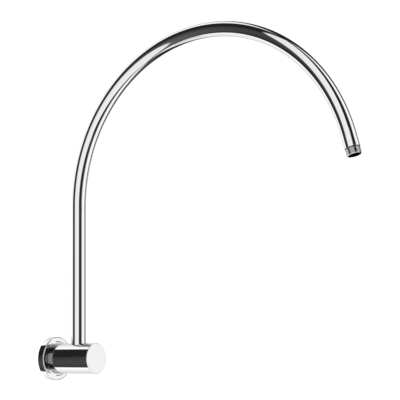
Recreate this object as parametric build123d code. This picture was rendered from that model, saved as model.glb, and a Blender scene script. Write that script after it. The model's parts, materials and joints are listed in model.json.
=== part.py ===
from build123d import *
import os
from math import isclose

# Gooseneck wall shower arm, in millimetres.
# The origin is on the wall plane, at the centre of the body.
# +X leads out of the wall, +Z is up, and the arm lies in the XZ plane.

# Gooseneck tube
tube_diameter = 22.0
tube_wall = 1.5
riser_offset = 52.75       # wall plane to the axis of the riser
riser_height = 229.0       # body axis to the start of the bend
bend_radius = 240.0        # to the tube's centreline
bend_angle = 164.0
tail_length = 18.5         # straight run after the bend
tube_end_round = 0.4

# Body
body_diameter = 45.5
body_nose = 34.5           # riser axis to the front face
body_nose_round = 0.6
body_rear_chamfer = 0.5
tube_socket_depth = 12.0   # from the top line of the body to the tube's seat
waterway_diameter = 16.0
braze_clearance = 0.05     # radial

# Outlet nipple
thread_diameter = 20.955   # G 1/2, over the crests
outlet_thread_length = 9.5
outlet_thread_chamfer = 1.1
nipple_bore = 16.0
nipple_bore_chamfer = 0.4
nipple_seat_wall = 0.5     # seat ring beyond the tube's bore
nipple_seat_length = 0.9
nipple_plug_length = 14.0  # inside the tube

# Wall flange
flange_diameter = 65.5
flange_thickness = 11.4
flange_edge_round = 1.45
flange_front_wall = 3.0
flange_rim_wall = 3.0
flange_clearance = 0.2     # radial, over the body
boss_wall = 3.5            # round the bore, behind the front
boss_gap = 4.0             # wall plane to the back of the boss
bead_wall = 3.15           # raised ring on the front, outside the bore
bead_height = 0.95
bead_slope = 1.25          # radial width of the ring's sloping side
flange_ring_section = 2.0

# Inlet spigot
inlet_thread_length = 16.0
inlet_thread_chamfer = 1.2
collar_diameter = 30.0
collar_thickness = 3.0     # stands the body off the wall
spigot_diameter = 24.0
spigot_clearance = 0.1     # radial, in the body
spigot_end_gap = 0.5
spigot_lead_chamfer = 1.0
spigot_bore = 11.5
key_socket_flats = 12.0
key_socket_depth = 10.0
socket_web = 3.0           # metal between the spigot's and the tube's sockets
seal_section = 2.4
seal_land = 1.5            # land in front of each seal groove
groove_side_play = 0.4     # each side of a rubber ring
seal_gap = 0.02            # between a fitted ring and its seats

# Locking screw
screw_diameter = 5.0
screw_clearance = 0.05     # radial
screw_recess = 2.5         # below the surface of the body
screw_point_diameter = 2.5
screw_point_length = 1.0
screw_key_flats = 2.5
screw_key_depth = 3.0
lock_groove_depth = 1.0
lock_groove_play = 0.5     # each side of the screw

# Sizes that follow from these
tube_radius = tube_diameter / 2
tube_bore_radius = tube_radius - tube_wall
body_radius = body_diameter / 2
body_rear = collar_thickness
body_front = riser_offset + body_nose
tube_seat = body_radius - tube_socket_depth
tube_socket_radius = tube_radius + braze_clearance
thread_radius = thread_diameter / 2
flange_bore_radius = body_radius + flange_clearance
bead_radius = flange_bore_radius + bead_wall
bead_face = flange_thickness + bead_height
flange_ring_x = (boss_gap + flange_thickness) / 2
spigot_radius = spigot_diameter / 2
spigot_socket_radius = spigot_radius + spigot_clearance
spigot_socket_end = riser_offset - tube_socket_radius - socket_web
spigot_front = spigot_socket_end - spigot_end_gap
seal_groove_width = seal_section + 2 * groove_side_play
seal_floor_radius = spigot_socket_radius - seal_section - 2 * seal_gap
seal_pitch = seal_land + seal_groove_width
front_seal_x = spigot_front - spigot_lead_chamfer - seal_land - seal_groove_width / 2
rear_seal_x = front_seal_x - seal_pitch
lock_groove_width = screw_diameter + 2 * lock_groove_play
lock_groove_radius = spigot_radius - lock_groove_depth
lock_x = rear_seal_x - seal_pitch / 2 - seal_land - lock_groove_width / 2
screw_radius = screw_diameter / 2
screw_length = body_radius - lock_groove_radius - screw_recess

ON_BASE = (Align.CENTER, Align.CENTER, Align.MIN)
wall = Plane(origin=(0, 0, 0), z_dir=(1, 0, 0))


def turned(*corners):
    """Solid of revolution about Z from (radius, height) corners."""
    return revolve(Plane.XZ * make_face(Polyline(*corners, close=True)), Axis.Z)


def rod(radius, start, end):
    """Cylinder on the Z axis between two heights."""
    return Pos(0, 0, start) * Cylinder(radius, end - start, align=ON_BASE)


def groove(floor_radius, outer_radius, centre, width):
    """Ring to cut from or leave in a turned solid, about Z."""
    ring = Cylinder(outer_radius, width) - Cylinder(floor_radius, width)
    return Pos(0, 0, centre) * ring


def rim(solid, radius, height):
    """Circular edge of a solid turned about Z."""
    circles = solid.edges().filter_by(GeomType.CIRCLE)
    return circles.filter_by(
        lambda edge: isclose(edge.radius, radius, abs_tol=1e-3)
        and isclose(edge.arc_center.Z, height, abs_tol=1e-3)
    )


def hex_socket(flats, floor, mouth):
    """Hexagonal key recess on the Z axis between two heights."""
    hexagon = RegularPolygon(flats / 2, 6, major_radius=False)
    return Pos(0, 0, floor) * extrude(hexagon, mouth - floor)


def arm_centreline():
    """Riser, bend and straight tail as one tangent path."""
    riser = Line((riser_offset, tube_seat), (riser_offset, riser_height))
    bend = JernArc(start=riser @ 1, tangent=riser % 1, radius=bend_radius, arc_size=-bend_angle)
    tail = Line(bend @ 1, bend @ 1 + (bend % 1) * tail_length)
    return Plane.XZ * Wire([riser, bend, tail])


def make_gooseneck_tube(path):
    """Bent tube, square at both ends, with its outlet edge eased."""
    foot = Plane(origin=path @ 0, z_dir=path % 0)
    outside = sweep(foot * Circle(tube_radius), path)
    outlet_edges = outside.edges().filter_by(GeomType.CIRCLE).sort_by_distance(path @ 1)
    outside = fillet(outlet_edges[0], tube_end_round)
    inside = sweep(foot * Circle(tube_bore_radius), path)
    return outside - inside


def make_outlet_nipple(path):
    """Plug brazed inside the tube, seat ring on the tube's end, and threaded end."""
    plug_radius = tube_bore_radius - braze_clearance
    seat_radius = tube_bore_radius + nipple_seat_wall
    thread_end = nipple_seat_length + outlet_thread_length
    outer = rod(plug_radius, -nipple_plug_length, 0)
    outer += rod(seat_radius, 0, nipple_seat_length)
    thread = rod(thread_radius, nipple_seat_length, thread_end)
    outer += chamfer(rim(thread, thread_radius, thread_end), outlet_thread_chamfer)
    nipple = outer - rod(nipple_bore / 2, -nipple_plug_length, thread_end)
    nipple = chamfer(rim(nipple, nipple_bore / 2, thread_end), nipple_bore_chamfer)
    return Plane(origin=path @ 1, z_dir=path % 1) * nipple


def make_wall_body():
    """Closed round body with a spigot socket, a tube socket and a bent waterway."""
    body = rod(body_radius, body_rear, body_front)
    body = fillet(rim(body, body_radius, body_front), body_nose_round)
    body = chamfer(rim(body, body_radius, body_rear), body_rear_chamfer)
    socket = rod(spigot_socket_radius, body_rear, spigot_socket_end)
    mouth = rim(body - socket, spigot_socket_radius, body_rear)
    body = chamfer(mouth, spigot_lead_chamfer)
    body -= rod(waterway_diameter / 2, spigot_socket_end, riser_offset)
    body = wall * body
    elbow = Pos(riser_offset, 0, 0) * Sphere(waterway_diameter / 2)
    tube_waterway = Pos(riser_offset, 0, 0) * rod(waterway_diameter / 2, 0, tube_seat)
    tube_socket = Pos(riser_offset, 0, 0) * rod(tube_socket_radius, tube_seat, body_diameter)
    screw_hole = Pos(lock_x, 0, 0) * rod(screw_radius + screw_clearance, -body_diameter, 0)
    return body - elbow - tube_waterway - tube_socket - screw_hole


def make_wall_flange():
    """Round cover with a raised ring in front, a hollow back, and a ring groove in its boss."""
    flange_radius = flange_diameter / 2
    back_wall = flange_thickness - flange_front_wall
    flange = turned(
        (flange_bore_radius, boss_gap),
        (flange_bore_radius + boss_wall, boss_gap),
        (flange_bore_radius + boss_wall, back_wall),
        (flange_radius - flange_rim_wall, back_wall),
        (flange_radius - flange_rim_wall, 0),
        (flange_radius, 0),
        (flange_radius, flange_thickness),
        (bead_radius, flange_thickness),
        (bead_radius - bead_slope, bead_face),
        (flange_bore_radius, bead_face),
    )
    flange = fillet(rim(flange, flange_radius, flange_thickness), flange_edge_round)
    ring_seat = body_radius + flange_ring_section + 2 * seal_gap
    ring_width = flange_ring_section + 2 * groove_side_play
    flange -= groove(flange_bore_radius, ring_seat, flange_ring_x, ring_width)
    return wall * flange


def make_inlet_spigot():
    """Threaded wall end, collar, and sealed end with a key socket and a locking groove."""
    spigot = rod(thread_radius, -inlet_thread_length, 0)
    spigot = chamfer(rim(spigot, thread_radius, -inlet_thread_length), inlet_thread_chamfer)
    spigot += rod(collar_diameter / 2, 0, collar_thickness)
    barrel = rod(spigot_radius, collar_thickness, spigot_front)
    spigot += chamfer(rim(barrel, spigot_radius, spigot_front), spigot_lead_chamfer)
    for seal_x in (front_seal_x, rear_seal_x):
        spigot -= groove(seal_floor_radius, spigot_radius, seal_x, seal_groove_width)
    spigot -= groove(lock_groove_radius, spigot_radius, lock_x, lock_groove_width)
    spigot -= rod(spigot_bore / 2, -inlet_thread_length, spigot_front)
    spigot -= hex_socket(key_socket_flats, spigot_front - key_socket_depth, spigot_front)
    return wall * spigot


def make_seal_ring(inner_radius, section, centre):
    """Rubber ring about the body's axis."""
    return wall * Pos(0, 0, centre) * Torus(inner_radius + section / 2, section / 2)


def make_locking_screw():
    """Grub screw with its point on the floor of the spigot's groove."""
    screw = turned(
        (0, 0),
        (screw_point_diameter / 2, 0),
        (screw_radius, screw_point_length),
        (screw_radius, screw_length),
        (0, screw_length),
    )
    screw -= hex_socket(screw_key_flats, screw_length - screw_key_depth, screw_length)
    return Plane(origin=(lock_x, 0, -lock_groove_radius), z_dir=(0, 0, -1)) * screw


centreline = arm_centreline()
seal_inner_radius = seal_floor_radius + seal_gap
pieces = {
    "wall_body": make_wall_body(),
    "gooseneck_tube": make_gooseneck_tube(centreline),
    "outlet_nipple": make_outlet_nipple(centreline),
    "wall_flange": make_wall_flange(),
    "flange_o_ring": make_seal_ring(body_radius + seal_gap, flange_ring_section, flange_ring_x),
    "inlet_spigot": make_inlet_spigot(),
    "front_seal_ring": make_seal_ring(seal_inner_radius, seal_section, front_seal_x),
    "rear_seal_ring": make_seal_ring(seal_inner_radius, seal_section, rear_seal_x),
    "locking_screw": make_locking_screw(),
}

os.makedirs("parts", exist_ok=True)
for name, piece in pieces.items():
    piece.label = name
    export_step(piece, f"parts/{name}.step")
    print(f"{name}: {piece.volume:.1f} cubic mm")
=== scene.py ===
import json
import math

import bpy
from mathutils import Matrix, Vector


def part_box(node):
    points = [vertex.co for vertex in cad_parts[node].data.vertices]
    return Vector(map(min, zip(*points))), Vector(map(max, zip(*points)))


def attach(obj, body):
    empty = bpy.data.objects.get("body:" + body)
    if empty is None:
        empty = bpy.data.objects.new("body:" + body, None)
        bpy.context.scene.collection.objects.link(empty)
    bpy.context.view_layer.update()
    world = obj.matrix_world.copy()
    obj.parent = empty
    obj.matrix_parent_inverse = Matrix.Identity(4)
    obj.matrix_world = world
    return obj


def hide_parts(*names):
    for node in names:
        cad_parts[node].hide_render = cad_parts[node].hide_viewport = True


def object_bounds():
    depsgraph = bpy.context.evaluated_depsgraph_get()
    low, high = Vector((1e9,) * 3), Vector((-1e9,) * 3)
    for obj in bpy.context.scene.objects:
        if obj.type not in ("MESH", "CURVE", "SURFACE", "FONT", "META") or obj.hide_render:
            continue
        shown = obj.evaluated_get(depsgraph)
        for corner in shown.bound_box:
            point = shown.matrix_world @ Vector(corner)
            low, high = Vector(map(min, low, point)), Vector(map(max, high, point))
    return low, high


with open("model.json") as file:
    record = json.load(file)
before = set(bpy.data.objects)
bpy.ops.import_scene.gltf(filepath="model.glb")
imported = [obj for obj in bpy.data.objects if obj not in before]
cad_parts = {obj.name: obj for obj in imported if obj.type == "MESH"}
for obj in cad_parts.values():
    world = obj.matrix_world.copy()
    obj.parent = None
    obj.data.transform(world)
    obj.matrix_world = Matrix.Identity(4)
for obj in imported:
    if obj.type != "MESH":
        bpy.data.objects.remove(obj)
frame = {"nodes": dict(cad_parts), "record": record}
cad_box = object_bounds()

# Gooseneck wall shower arm, in metres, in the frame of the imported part:
# the origin is on the wall plane at the body's axis, +X leads out of the wall,
# +Z is up, and the arm lies in the XZ plane.
mm = 0.001
wall_centre = Vector((0.0, 0.0, 0.0))
outward = Vector((1.0, 0.0, 0.0))
sideways = Vector((0.0, 1.0, 0.0))
upward = Vector((0.0, 0.0, 1.0))

# Camera, fitted to the photograph of 400 by 400 pixels
image_size = 400
focal_pixels = 1366.4
sensor_width = 36.0
camera_place = Vector((1.4063, -1.5768, 0.0233))
camera_target = Vector((0.2795, 0.0, 0.2245))
camera_roll = math.radians(-0.502)

# Studio
room_light = 0.03          # of the dark room between the cards
side_elevation = 60.0      # degrees over and under the horizon, where a card's sides are given

# Floor
floor_drop = 0.35          # below the lowest point of the part
floor_radius = 6.0
floor_fade = 3.0           # from here to the rim the floor turns into the white backdrop
floor_lift = 0.276         # brings the lit floor just up to white for the camera

# Fineness of the new meshes
segments = 120             # round each turned or swept surface
riser_steps = 24           # along the riser
bend_steps = 328           # along the bend
bore_stride = 4            # rings on the outside of the tube for each ring in its bore
tube_round_steps = 6       # over the tube's eased edge
flange_round_steps = 12    # over the flange's rounded edge
thread_steps = 14          # along one pitch of a thread
floor_rings = 24
sharp_edge = math.radians(35)

# Materials
noise_low = 0.3            # noises spread mostly between these two values
noise_high = 0.7
grazing_tint = (0.7, 0.7, 0.7, 1.0)    # chromium mirrors less than most metals at grazing angles

# Gooseneck tube
tube_low, tube_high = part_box("gooseneck_tube")
mounts = {mount["name"]: mount for mount in frame["record"]["mounts"]}
outlet_axis = Vector(mounts["outlet_thread"]["axis"])
tube_wall = 1.5 * mm
tube_end_round = 0.4 * mm
bend_radius = 240 * mm
tail_length = 18.5 * mm    # straight run after the bend
tube_radius = tube_high.y
tube_bore_radius = tube_radius - tube_wall
riser_x = tube_low.x + tube_radius
tube_seat = tube_low.z
bend_angle = math.atan2(outlet_axis.x, outlet_axis.z)
riser_length = tube_high.z - tube_radius - bend_radius - tube_seat
bend_length = bend_radius * bend_angle
tube_length = riser_length + bend_length + tail_length

# G 1/2 thread
thread_diameter = 20.955 * mm
thread_pitch = 1.814 * mm
thread_depth = 1.162 * mm
thread_flat = 0.12         # width of the crest, and of the root, in pitches
thread_radius = thread_diameter / 2

# Outlet nipple, from the tube's end
nipple_bore_radius = 8 * mm
nipple_bore_chamfer = 0.4 * mm
nipple_seat_wall = 0.5 * mm      # seat ring beyond the tube's bore
nipple_seat_length = 0.9 * mm
nipple_plug_length = 14 * mm     # inside the tube
braze_clearance = 0.05 * mm
outlet_thread_length = 9.5 * mm
outlet_thread_chamfer = 1.1 * mm
nipple_mouth_radius = nipple_bore_radius + nipple_bore_chamfer
nipple_seat_radius = tube_bore_radius + nipple_seat_wall
nipple_plug_radius = tube_bore_radius - braze_clearance
# Painted shade on the outlet nipple: its colour turns near black in the seat groove and in the bore
painted_shade_fade_start = nipple_seat_length     # the painted shade of the groove at the seat ring fades out from here
painted_shade_fade_end = painted_shade_fade_start + 1 * mm
painted_shade_bore_edge = 0.1 * mm          # painted shade of the bore reaches this far out from its mouth

# Wall flange, from the wall plane
flange_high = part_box("wall_flange")[1]
body_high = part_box("wall_body")[1]
flange_thickness = 11.4 * mm
flange_edge_round = 1.45 * mm
flange_front_wall = 3 * mm
flange_rim_wall = 3 * mm
flange_clearance = 0.2 * mm      # over the body
boss_wall = 3.5 * mm             # round the bore, behind the front
boss_gap = 4 * mm                # wall plane to the back of the boss
bead_wall = 3.15 * mm            # raised ring on the front, outside the bore
bead_slope = 1.25 * mm           # radial width of the ring's sloping side
flange_radius = flange_high.y
flange_bore_radius = body_high.y + flange_clearance
bead_radius = flange_bore_radius + bead_wall
bead_face = flange_high.x

# Inlet spigot, from the wall plane
spigot_low, spigot_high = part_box("inlet_spigot")
inlet_thread_chamfer = 1.2 * mm
collar_thickness = 3 * mm
spigot_radius = 12 * mm
spigot_lead_chamfer = 1 * mm
spigot_bore_radius = 5.75 * mm
key_socket_flats = 12 * mm
key_socket_depth = 10 * mm
seal_section = 2.4 * mm
seal_gap = 0.02 * mm             # between a rubber ring and its seats
groove_side_play = 0.4 * mm      # each side of a rubber ring
lock_groove_play = 0.5 * mm      # each side of the locking screw
inlet_end = spigot_low.x
collar_radius = spigot_high.y
spigot_front = spigot_high.x


class Nodes:
    """Short calls for building a node tree."""

    def __init__(self, tree):
        self.tree = tree
        tree.nodes.clear()

    def set(self, socket, value):
        """Link a socket to another one, or give it a plain value."""
        if isinstance(value, bpy.types.NodeSocket):
            self.tree.links.new(value, socket)
        else:
            socket.default_value = value

    def add(self, kind, **inputs):
        """New node, with its inputs by name."""
        node = self.tree.nodes.new(kind)
        for name, value in inputs.items():
            self.set(node.inputs[name.replace("_", " ")], value)
        return node

    def operate(self, kind, operation, values):
        """Outputs of a node that works on its inputs in their order."""
        node = self.tree.nodes.new(kind)
        node.operation = operation
        for socket, value in zip(node.inputs, values):
            self.set(socket, value)
        return node.outputs

    def math(self, operation, *values):
        return self.operate("ShaderNodeMath", operation, values)["Value"]

    def vector(self, operation, *values):
        return self.operate("ShaderNodeVectorMath", operation, values)

    def ramp(self, value, start, end, low=0.0, high=1.0):
        """Smooth change from low to high while the value goes from start to end."""
        node = self.add("ShaderNodeMapRange", Value=value, From_Min=start, From_Max=end,
                        To_Min=low, To_Max=high)
        node.interpolation_type = "SMOOTHSTEP"
        return node.outputs["Result"]

    def line(self, share, low, high):
        """Value between low and high."""
        node = self.add("ShaderNodeMapRange", Value=share, To_Min=low, To_Max=high)
        return node.outputs["Result"]

    def noise(self, place, scale, detail, stretch=(1.0, 1.0, 1.0)):
        mapped = self.add("ShaderNodeMapping", Vector=place, Scale=stretch)
        node = self.add("ShaderNodeTexNoise", Vector=mapped.outputs[0], Scale=scale, Detail=detail)
        return node.outputs["Fac"]

    def vary(self, noise, low, high):
        """Value that follows a noise from low to high."""
        return self.ramp(noise, noise_low, noise_high, low, high)

    def blend(self, share, first, second):
        """Colour between two colours."""
        node = self.tree.nodes.new("ShaderNodeMix")
        node.data_type = "RGBA"
        self.set(node.inputs["Factor"], share)
        self.set(node.inputs["A"], (*first, 1.0))
        self.set(node.inputs["B"], (*second, 1.0))
        return node.outputs["Result"]


# Camera and surroundings

def make_camera():
    """Camera at the photograph's viewing angle."""
    data = bpy.data.cameras.new("camera")
    data.sensor_width = sensor_width
    data.lens = focal_pixels / image_size * sensor_width
    camera = bpy.data.objects.new("camera", data)
    look = (camera_target - camera_place).to_track_quat("-Z", "Y").to_matrix().to_4x4()
    roll = Matrix.Rotation(camera_roll, 4, "Z")
    camera.matrix_world = Matrix.Translation(camera_place) @ look @ roll
    bpy.context.scene.collection.objects.link(camera)
    bpy.context.scene.camera = camera


def bowed_edge(nodes, elevation, middle, low, mid, high):
    """Azimuth of a card's side, from its middle: low under the horizon, mid on it, high over it."""
    height = nodes.math("DIVIDE", elevation, side_elevation)
    bow = nodes.math("MULTIPLY_ADD", height, (high + low) / 2 - mid, (high - low) / 2)
    return nodes.math("MULTIPLY_ADD", height, bow, mid - middle)


def card(nodes, azimuth, elevation, left, right, span, corner, feather, level):
    """Light from one card with rounded corners, in degrees as seen from the part.

    left and right: azimuths of its sides under, on and over the horizon
    span: elevations of its bottom and top edges
    corner: radius of its corners
    feather: softness of its edge at its left and right sides
    level: its brightness at its left and right sides
    """
    middle = (left[1] + right[1]) / 2
    turned = nodes.math("WRAP", nodes.math("SUBTRACT", azimuth, middle), 180.0, -180.0)
    left_side = bowed_edge(nodes, elevation, middle, *left)
    right_side = bowed_edge(nodes, elevation, middle, *right)
    from_left = nodes.math("SUBTRACT", turned, left_side)
    to_right = nodes.math("SUBTRACT", right_side, turned)
    from_bottom = nodes.math("SUBTRACT", elevation, span[0])
    to_top = nodes.math("SUBTRACT", span[1], elevation)
    across = nodes.math("SUBTRACT", corner, nodes.math("MINIMUM", from_left, to_right))
    along = nodes.math("SUBTRACT", corner, nodes.math("MINIMUM", from_bottom, to_top))
    inside = nodes.math("MINIMUM", nodes.math("MAXIMUM", across, along), 0.0)
    wide = nodes.math("MAXIMUM", across, 0.0)
    tall = nodes.math("MAXIMUM", along, 0.0)
    squares = nodes.math("MULTIPLY_ADD", wide, wide, nodes.math("MULTIPLY", tall, tall))
    beyond = nodes.math("SQRT", squares)
    edge = nodes.math("SUBTRACT", nodes.math("ADD", inside, beyond), corner)
    share = nodes.math("DIVIDE", from_left, nodes.math("ADD", from_left, to_right))
    soft = nodes.line(share, *feather)
    cover = nodes.ramp(nodes.math("DIVIDE", edge, soft), 0.5, -0.5)
    return nodes.math("MULTIPLY", cover, nodes.line(share, *level))


def make_studio():
    """Dark room with tall white cards round the part, and a white backdrop behind it."""
    world = bpy.data.worlds.new("studio")
    bpy.context.scene.world = world
    world.use_nodes = True
    nodes = Nodes(world.node_tree)
    place = nodes.add("ShaderNodeTexCoord").outputs["Generated"]
    x, y, z = nodes.add("ShaderNodeSeparateXYZ", Vector=place).outputs
    azimuth = nodes.math("DEGREES", nodes.math("ARCTAN2", y, x))
    elevation = nodes.math("DEGREES", nodes.math("ARCSINE", z))
    # Azimuths count from +X towards +Y: the camera stands near 306, the wall is at 180
    cards = {
        "front": dict(
            left=(0.5, -1, 8), right=(73, 51.5, 66), span=(-93, 86),
            corner=39, feather=(18, 2.3), level=(1.88, 1.7),
        ),
        "backdrop": dict(
            left=(93, 67, 72), right=(122, 142, 125), span=(-17, 26),
            corner=13, feather=(10, 2.8), level=(1.0, 1.1),
        ),
        "wall_side": dict(
            left=(130, 128.5, 134), right=(199.5, 200, 195), span=(-94, 86),
            corner=24, feather=(14, 7.6), level=(1.42, 2.0),
        ),
        "wall_side_upper": dict(
            left=(112, 124, 137), right=(196, 200.5, 210), span=(2, 41),
            corner=16, feather=(10, 8.5), level=(1.21, 1.91),
        ),
        "wall_side_strip": dict(
            left=(185, 187, 178.5), right=(198, 202.5, 186), span=(-61.5, 94),
            corner=8.6, feather=(5, 8), level=(2.6, 1.3),
        ),
        "camera_side": dict(
            left=(239, 245, 245), right=(314, 308, 314), span=(-96, 84.5),
            corner=39, feather=(4, 2), level=(1.54, 1.7),
        ),
        "camera_side_edge": dict(
            left=(300, 300, 300), right=(339, 313.5, 339), span=(-30, 30),
            corner=3, feather=(2, 2), level=(0.76, 0.76),
        ),
        "dim_left": dict(
            left=(196, 223, 244), right=(247, 267, 283), span=(-88.5, 33),
            corner=5.7, feather=(2.8, 3.7), level=(0.05, 0.28),
        ),
        "dim_right": dict(
            left=(335, 339.5, 332), right=(370, 360.5, 357), span=(-87, 11),
            corner=7, feather=(12, 12), level=(0.06, 0.42),
        ),
        "dim_floor": dict(
            left=(51, 62, 82.5), right=(112, 106, 114), span=(-87.5, -26),
            corner=1, feather=(19, 17), level=(0.31, 0.09),
        ),
    }
    light = room_light
    for shape in cards.values():
        light = nodes.math("MAXIMUM", light, card(nodes, azimuth, elevation, **shape))
    seen = nodes.add("ShaderNodeLightPath").outputs["Is Camera Ray"]
    background = nodes.add("ShaderNodeBackground", Strength=nodes.math("MAXIMUM", light, seen))
    background.inputs["Color"].default_value = (1.0, 1.0, 1.0, 1.0)
    output = nodes.add("ShaderNodeOutputWorld")
    nodes.set(output.inputs["Surface"], background.outputs[0])


def make_floor():
    """Pale floor under the part, which takes its shadow and turns white towards the rim."""
    low_corner, high_corner = [Vector(corner) for corner in cad_box]
    centre = (low_corner + high_corner) / 2
    centre.z = low_corner.z - floor_drop
    rings = []
    for step in range(1, floor_rings + 1):
        rings.append(round_ring(centre, upward, floor_radius * step / floor_rings))
    floor = new_object("floor", rings, closed=False)
    floor.data.materials.append(make_floor_paint(centre))
    floor.visible_glossy = False


def make_floor_paint(centre):
    """Matt pale paint, lifted to white for the camera only."""
    material, nodes, shader, place = new_material("floor_paint")
    speckle = nodes.noise(place, scale=40.0, detail=4.0)
    nodes.set(shader.inputs["Base Color"], nodes.blend(speckle, (0.8, 0.8, 0.8), (0.82, 0.82, 0.82)))
    shader.inputs["Roughness"].default_value = 0.9
    from_centre = nodes.vector("DISTANCE", place, centre)["Value"]
    fade = nodes.ramp(from_centre, floor_fade, floor_radius)
    seen = nodes.add("ShaderNodeLightPath").outputs["Is Camera Ray"]
    lift = nodes.add("ShaderNodeEmission", Strength=nodes.math("MULTIPLY", seen, floor_lift))
    lit = nodes.add("ShaderNodeAddShader")
    nodes.set(lit.inputs[0], shader.outputs[0])
    nodes.set(lit.inputs[1], lift.outputs[0])
    white = nodes.add("ShaderNodeEmission", Strength=seen)
    mixed = nodes.add("ShaderNodeMixShader", Fac=fade)
    nodes.set(mixed.inputs[1], lit.outputs[0])
    nodes.set(mixed.inputs[2], white.outputs[0])
    output = nodes.tree.nodes["Material Output"]
    nodes.set(output.inputs["Surface"], mixed.outputs[0])
    return material


# Materials

def new_material(name, metallic=0.0):
    """Material with its nodes, its shader and the place on the object."""
    material = bpy.data.materials.new(name)
    material.use_nodes = True
    nodes = Nodes(material.node_tree)
    shader = nodes.add("ShaderNodeBsdfPrincipled", Metallic=metallic)
    output = nodes.add("ShaderNodeOutputMaterial")
    nodes.set(output.inputs["Surface"], shader.outputs[0])
    place = nodes.add("ShaderNodeTexCoord").outputs["Object"]
    return material, nodes, shader, place


def set_surface(nodes, shader, colour, roughness, relief, depth):
    """Colour, roughness and fine relief of a material."""
    bump = nodes.add("ShaderNodeBump", Height=relief, Distance=depth)
    nodes.set(shader.inputs["Base Color"], colour)
    nodes.set(shader.inputs["Roughness"], roughness)
    nodes.set(shader.inputs["Normal"], bump.outputs[0])


def make_chrome():
    """Polished plating: a mirror with a faint cloudy unevenness."""
    material, nodes, shader, place = new_material("chrome", metallic=1.0)
    clouds = nodes.noise(place, scale=45.0, detail=3.0)
    ripple = nodes.noise(place, scale=90.0, detail=2.0)
    colour = nodes.blend(clouds, (0.515, 0.515, 0.525), (0.525, 0.525, 0.535))
    set_surface(nodes, shader, colour, nodes.vary(clouds, 0.006, 0.014), ripple, 0.0005 * mm)
    shader.inputs["Specular Tint"].default_value = grazing_tint
    return material


def make_chrome_thread():
    """Plating over a cut thread, with painted shade: near black in the bore and in the groove at the
    tube's end.
    """
    material, nodes, shader, place = new_material("chrome_thread", metallic=1.0)
    tube_end = arm_station(tube_length)[0]
    from_end = nodes.vector("SUBTRACT", place, tube_end)["Vector"]
    height = nodes.vector("DOT_PRODUCT", from_end, outlet_axis)["Value"]
    from_axis = nodes.vector("CROSS_PRODUCT", from_end, outlet_axis)["Vector"]
    radius = nodes.vector("LENGTH", from_axis)["Value"]
    # masks of the painted shade: 0 in the groove at the tube's end and in the bore, 1 outside them
    past_shaded_groove = nodes.ramp(height, painted_shade_fade_start, painted_shade_fade_end)
    past_shaded_bore = nodes.ramp(radius, nipple_mouth_radius, nipple_mouth_radius + painted_shade_bore_edge)
    outside = nodes.math("MULTIPLY", past_shaded_groove, past_shaded_bore)
    clouds = nodes.noise(place, scale=400.0, detail=4.0)
    grain = nodes.noise(place, scale=2500.0, detail=2.0)
    # random cloudy tone of the plating, times the mask of the painted shade
    unshaded_and_clouded = nodes.math("MULTIPLY", outside, nodes.line(clouds, 0.8, 1.0))
    # near black painted shade in the groove and the bore, plated colour elsewhere
    colour = nodes.blend(unshaded_and_clouded, (0.006, 0.006, 0.006), (0.5, 0.505, 0.515))
    set_surface(nodes, shader, colour, nodes.vary(clouds, 0.02, 0.05), grain, 0.002 * mm)
    shader.inputs["Specular Tint"].default_value = grazing_tint
    return material


def make_brass():
    """Turned brass with fine tool lines round the axis, a little tarnished."""
    material, nodes, shader, place = new_material("brass", metallic=1.0)
    tarnish = nodes.noise(place, scale=120.0, detail=4.0)
    lines = nodes.noise(place, scale=60.0, detail=3.0, stretch=(120.0, 1.0, 1.0))
    colour = nodes.blend(tarnish, (0.8, 0.62, 0.3), (0.66, 0.49, 0.22))
    set_surface(nodes, shader, colour, nodes.vary(tarnish, 0.18, 0.34), lines, 0.01 * mm)
    return material


def make_rubber():
    """Black moulded rubber with a fine dusty mottle."""
    material, nodes, shader, place = new_material("rubber")
    mottle = nodes.noise(place, scale=900.0, detail=4.0)
    colour = nodes.blend(mottle, (0.02, 0.02, 0.021), (0.045, 0.045, 0.046))
    set_surface(nodes, shader, colour, nodes.vary(mottle, 0.45, 0.65), mottle, 0.01 * mm)
    return material


def make_steel():
    """Plain stainless steel with fine turning lines round the screw."""
    material, nodes, shader, place = new_material("steel", metallic=1.0)
    lines = nodes.noise(place, scale=90.0, detail=3.0, stretch=(1.0, 1.0, 60.0))
    colour = nodes.blend(lines, (0.42, 0.42, 0.43), (0.58, 0.58, 0.59))
    set_surface(nodes, shader, colour, nodes.vary(lines, 0.22, 0.38), lines, 0.01 * mm)
    return material


# Meshes

def ring(place, direction, radii):
    """Points round a direction in the XZ plane, one for each radius."""
    across = sideways.cross(direction).normalized()
    points = []
    for step, radius in enumerate(radii):
        angle = 2 * math.pi * step / len(radii)
        points.append(place + radius * (math.cos(angle) * across + math.sin(angle) * sideways))
    return points


def round_ring(place, direction, radius):
    return ring(place, direction, [radius] * segments)


def turned_rings(base, direction, corners):
    """Rings of a turned surface, from the (height, radius) corners of its outline."""
    return [round_ring(base + direction * height, direction, radius) for height, radius in corners]


def quarter_round(size, steps):
    """Setbacks (along, across) of a rounded edge, from its side to its face."""
    setbacks = []
    for step in range(steps + 1):
        turn = math.pi / 2 * step / steps
        setbacks.append((size * (1 - math.sin(turn)), size * (1 - math.cos(turn))))
    return setbacks


def groove(start, end, surface_radius, bottom_radius):
    """Corners of a square groove."""
    return [
        (start, surface_radius),
        (start, bottom_radius),
        (end, bottom_radius),
        (end, surface_radius),
    ]


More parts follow.
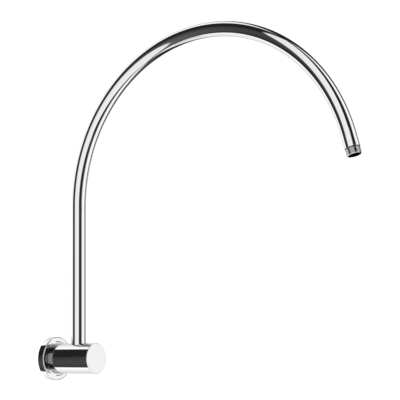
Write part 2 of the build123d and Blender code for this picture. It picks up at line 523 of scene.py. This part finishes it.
def new_object(name, rings, closed=True):
    """Mesh over rings of points, each joined to the next.

    A closed one joins its last ring to its first, and an open one is filled within its first.
    """
    points = [point for loop in rings for point in loop]
    joints = len(rings) if closed else len(rings) - 1
    faces = []
    for near in range(joints):
        far = (near + 1) % len(rings)
        for step in range(segments):
            after = (step + 1) % segments
            faces.append((near * segments + step, near * segments + after,
                          far * segments + after, far * segments + step))
    if not closed:
        faces.append(tuple(range(segments)))
    mesh = bpy.data.meshes.new(name)
    mesh.from_pydata(points, [], faces)
    mesh.validate()
    mesh.shade_smooth()
    mesh.set_sharp_from_angle(angle=sharp_edge)
    thing = bpy.data.objects.new(name, mesh)
    bpy.context.scene.collection.objects.link(thing)
    return thing


def stand_for(piece, node, slot):
    """Put a new piece in a CAD node's place, with the material of its slot."""
    piece.data.materials.append(materials[slot])
    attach(piece, "root")
    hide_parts(node)


def arm_station(distance):
    """Place and direction of the tube's centreline at a distance from its seat."""
    bent = min(max(distance - riser_length, 0.0), bend_length)
    angle = bent / bend_radius
    direction = Vector((math.sin(angle), 0.0, math.cos(angle)))
    along = bend_radius * (1 - math.cos(angle))
    height = min(distance, riser_length) + bend_radius * math.sin(angle)
    place = Vector((riser_x + along, 0.0, tube_seat + height))
    return place + direction * max(distance - riser_length - bend_length, 0.0), direction


def make_tube():
    """Bent tube with an eased outlet edge and an open bore."""
    riser_stops = [riser_length * step / riser_steps for step in range(riser_steps)]
    bend_stops = [riser_length + bend_length * step / bend_steps for step in range(bend_steps + 1)]
    outer_stops = riser_stops + bend_stops
    rings = [round_ring(*arm_station(stop), tube_radius) for stop in outer_stops]
    for along, across in quarter_round(tube_end_round, tube_round_steps):
        rings.append(round_ring(*arm_station(tube_length - along), tube_radius - across))
    for stop in [tube_length] + outer_stops[::-bore_stride]:
        rings.append(round_ring(*arm_station(stop), tube_bore_radius))
    return new_object("tube", rings)


def thread_groove(turns):
    """Depth of the thread over one pitch: 0 on the crest, 1 in the root."""
    flank = abs(2 * (turns % 1.0) - 1)
    share = min(max((flank - thread_flat) / (1 - 2 * thread_flat), 0.0), 1.0)
    return share * share * (3 - 2 * share)


def thread_rings(base, direction, start, end, chamfer):
    """Right-hand thread that runs out at its start and is chamfered at its end."""
    steps = round(abs(end - start) / thread_pitch * thread_steps)
    rings = []
    for step in range(steps + 1):
        height = start + (end - start) * step / steps
        run_out = min(abs(height - start) / thread_pitch, 1.0)
        limit = thread_radius - max(chamfer - abs(end - height), 0.0)
        radii = []
        for part in range(segments):
            turns = height / thread_pitch - part / segments
            radius = thread_radius - thread_depth * run_out * thread_groove(turns)
            radii.append(min(radius, limit))
        rings.append(ring(base + direction * height, direction, radii))
    return rings


def make_nipple():
    """Plug inside the tube, seat ring on the tube's end, and threaded end."""
    base, direction = arm_station(tube_length)
    end = nipple_seat_length + outlet_thread_length
    plug = [
        (-nipple_plug_length, nipple_plug_radius),
        (0.0, nipple_plug_radius),
        (0.0, nipple_seat_radius),
        (nipple_seat_length, nipple_seat_radius),
    ]
    bore = [
        (end, nipple_mouth_radius),
        (end - nipple_bore_chamfer, nipple_bore_radius),
        (-nipple_plug_length, nipple_bore_radius),
    ]
    rings = turned_rings(base, direction, plug)
    rings += thread_rings(base, direction, nipple_seat_length, end, outlet_thread_chamfer)
    rings += turned_rings(base, direction, bore)
    return new_object("threaded_outlet", rings)


def make_flange():
    """Round cover with a raised ring in front, a hollow back, and a ring groove in its boss."""
    back_wall = flange_thickness - flange_front_wall
    hollow_radius = flange_radius - flange_rim_wall
    boss_radius = flange_bore_radius + boss_wall
    corners = [
        (boss_gap, flange_bore_radius),
        (boss_gap, boss_radius),
        (back_wall, boss_radius),
        (back_wall, hollow_radius),
        (0.0, hollow_radius),
        (0.0, flange_radius),
    ]
    for along, across in quarter_round(flange_edge_round, flange_round_steps):
        corners.append((flange_thickness - along, flange_radius - across))
    corners += [
        (flange_thickness, bead_radius),
        (bead_face, bead_radius - bead_slope),
        (bead_face, flange_bore_radius),
    ]
    ring_low, ring_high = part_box("flange_o_ring")
    groove_front = ring_high.x + groove_side_play
    groove_back = ring_low.x - groove_side_play
    corners += groove(groove_front, groove_back, flange_bore_radius, ring_high.y + seal_gap)
    return new_object("flange_cover", turned_rings(wall_centre, outward, corners))


def hex_radii(flats):
    """Distances from the axis to the sides of a hexagon."""
    side_turn = math.pi / 3
    radii = []
    for step in range(segments):
        turn = 2 * math.pi * step / segments
        from_flat = (turn + side_turn / 2) % side_turn - side_turn / 2
        radii.append(flats / 2 / math.cos(from_flat))
    return radii


def spigot_barrel():
    """Corners of the spigot's outside, from the collar to the front."""
    corners = [
        (0.0, collar_radius),
        (collar_thickness, collar_radius),
        (collar_thickness, spigot_radius),
    ]
    screw_low, screw_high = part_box("locking_screw")
    lock_back = screw_low.x - lock_groove_play
    lock_front = screw_high.x + lock_groove_play
    corners += groove(lock_back, lock_front, spigot_radius, -screw_high.z)
    half_width = seal_section / 2 + groove_side_play
    for seal in ("rear_seal_ring", "front_seal_ring"):
        seal_low, seal_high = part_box(seal)
        centre = (seal_low.x + seal_high.x) / 2
        bottom_radius = seal_high.y - seal_section - seal_gap
        corners += groove(centre - half_width, centre + half_width, spigot_radius, bottom_radius)
    corners += [
        (spigot_front - spigot_lead_chamfer, spigot_radius),
        (spigot_front, spigot_radius - spigot_lead_chamfer),
    ]
    return corners


def make_spigot():
    """Threaded wall end, collar, grooved barrel, bore and key socket."""
    rings = thread_rings(wall_centre, outward, 0.0, inlet_end, inlet_thread_chamfer)[::-1]
    rings += turned_rings(wall_centre, outward, spigot_barrel())
    socket_radii = hex_radii(key_socket_flats)
    socket_floor = spigot_front - key_socket_depth
    for x in (spigot_front, socket_floor):
        rings.append(ring(wall_centre + outward * x, outward, socket_radii))
    bore = [(socket_floor, spigot_bore_radius), (inlet_end, spigot_bore_radius)]
    rings += turned_rings(wall_centre, outward, bore)
    return new_object("threaded_inlet", rings)


materials = {
    "chrome": make_chrome(),
    "chrome_thread": make_chrome_thread(),
    "brass": make_brass(),
    "rubber": make_rubber(),
    "steel": make_steel(),
}
for subpart in frame["record"]["subparts"]:
    node = frame["nodes"][subpart["node"]]
    node.data.materials.clear()
    node.data.materials.append(materials[subpart["material_slot"]])

stand_for(make_tube(), "gooseneck_tube", "chrome")
stand_for(make_nipple(), "outlet_nipple", "chrome_thread")
stand_for(make_flange(), "wall_flange", "chrome")
stand_for(make_spigot(), "inlet_spigot", "brass")

make_camera()
make_studio()
make_floor()
bpy.context.scene.view_settings.view_transform = "Standard"
